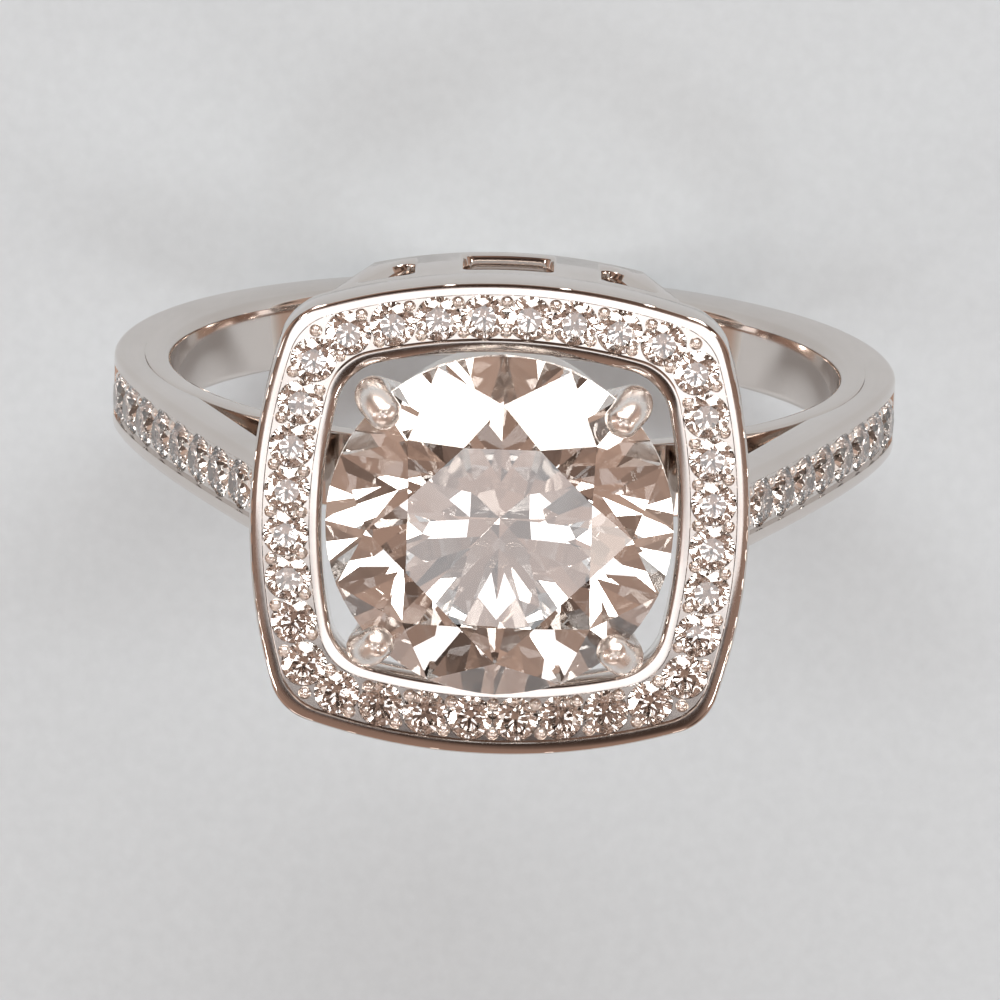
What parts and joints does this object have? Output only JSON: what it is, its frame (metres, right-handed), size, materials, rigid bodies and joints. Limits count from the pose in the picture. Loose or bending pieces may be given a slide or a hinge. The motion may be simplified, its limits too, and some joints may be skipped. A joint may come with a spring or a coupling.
{
  "type": "ring",
  "caption": "Halo engagement ring: a round brilliant in four rounded claws above a cushion pave halo on a pierced gallery, with pave cathedral shoulders.",
  "frame": {"origin": "centre of the finger hole", "axes": "+Z from the finger hole up through the head and the centre stone, +Y along the finger, +X across the ring"},
  "size_m": [0.0198, 0.0118, 0.0245],
  "materials": {
    "white_gold": "rhodium-plated 18 k white gold, mirror polished",
    "centre_diamond": "faceted and polished diamond",
    "melee_diamond": "faceted and polished diamond"
  },
  "bodies": {
    "root": {"shank": "white_gold", "finger_rail": "white_gold", "shoulder_right": "white_gold", "shoulder_left": "white_gold", "halo_frame": "white_gold", "gallery": "white_gold", "base_ring": "white_gold", "claw_1": "white_gold", "claw_2": "white_gold", "claw_3": "white_gold", "claw_4": "white_gold", "centre_stone": "centre_diamond", "halo_stone_01": "melee_diamond", "halo_stone_02": "melee_diamond", "halo_stone_03": "melee_diamond", "halo_stone_04": "melee_diamond", "halo_stone_05": "melee_diamond", "halo_stone_06": "melee_diamond", "halo_stone_07": "melee_diamond", "halo_stone_08": "melee_diamond", "halo_stone_09": "melee_diamond", "halo_stone_10": "melee_diamond", "halo_stone_11": "melee_diamond", "halo_stone_12": "melee_diamond", "halo_stone_13": "melee_diamond", "halo_stone_14": "melee_diamond", "halo_stone_15": "melee_diamond", "halo_stone_16": "melee_diamond", "halo_stone_17": "melee_diamond", "halo_stone_18": "melee_diamond", "halo_stone_19": "melee_diamond", "halo_stone_20": "melee_diamond", "halo_stone_21": "melee_diamond", "halo_stone_22": "melee_diamond", "halo_stone_23": "melee_diamond", "halo_stone_24": "melee_diamond", "halo_stone_25": "melee_diamond", "halo_stone_26": "melee_diamond", "halo_stone_27": "melee_diamond", "halo_stone_28": "melee_diamond", "halo_stone_29": "melee_diamond", "halo_stone_30": "melee_diamond", "halo_stone_31": "melee_diamond", "halo_stone_32": "melee_diamond", "shoulder_right_stone_1": "melee_diamond", "shoulder_right_stone_2": "melee_diamond", "shoulder_right_stone_3": "melee_diamond", "shoulder_right_stone_4": "melee_diamond", "shoulder_right_stone_5": "melee_diamond", "shoulder_right_stone_6": "melee_diamond", "shoulder_right_stone_7": "melee_diamond", "shoulder_right_stone_8": "melee_diamond", "shoulder_left_stone_1": "melee_diamond", "shoulder_left_stone_2": "melee_diamond", "shoulder_left_stone_3": "melee_diamond", "shoulder_left_stone_4": "melee_diamond", "shoulder_left_stone_5": "melee_diamond", "shoulder_left_stone_6": "melee_diamond", "shoulder_left_stone_7": "melee_diamond", "shoulder_left_stone_8": "melee_diamond"}
  },
  "joints": []
}
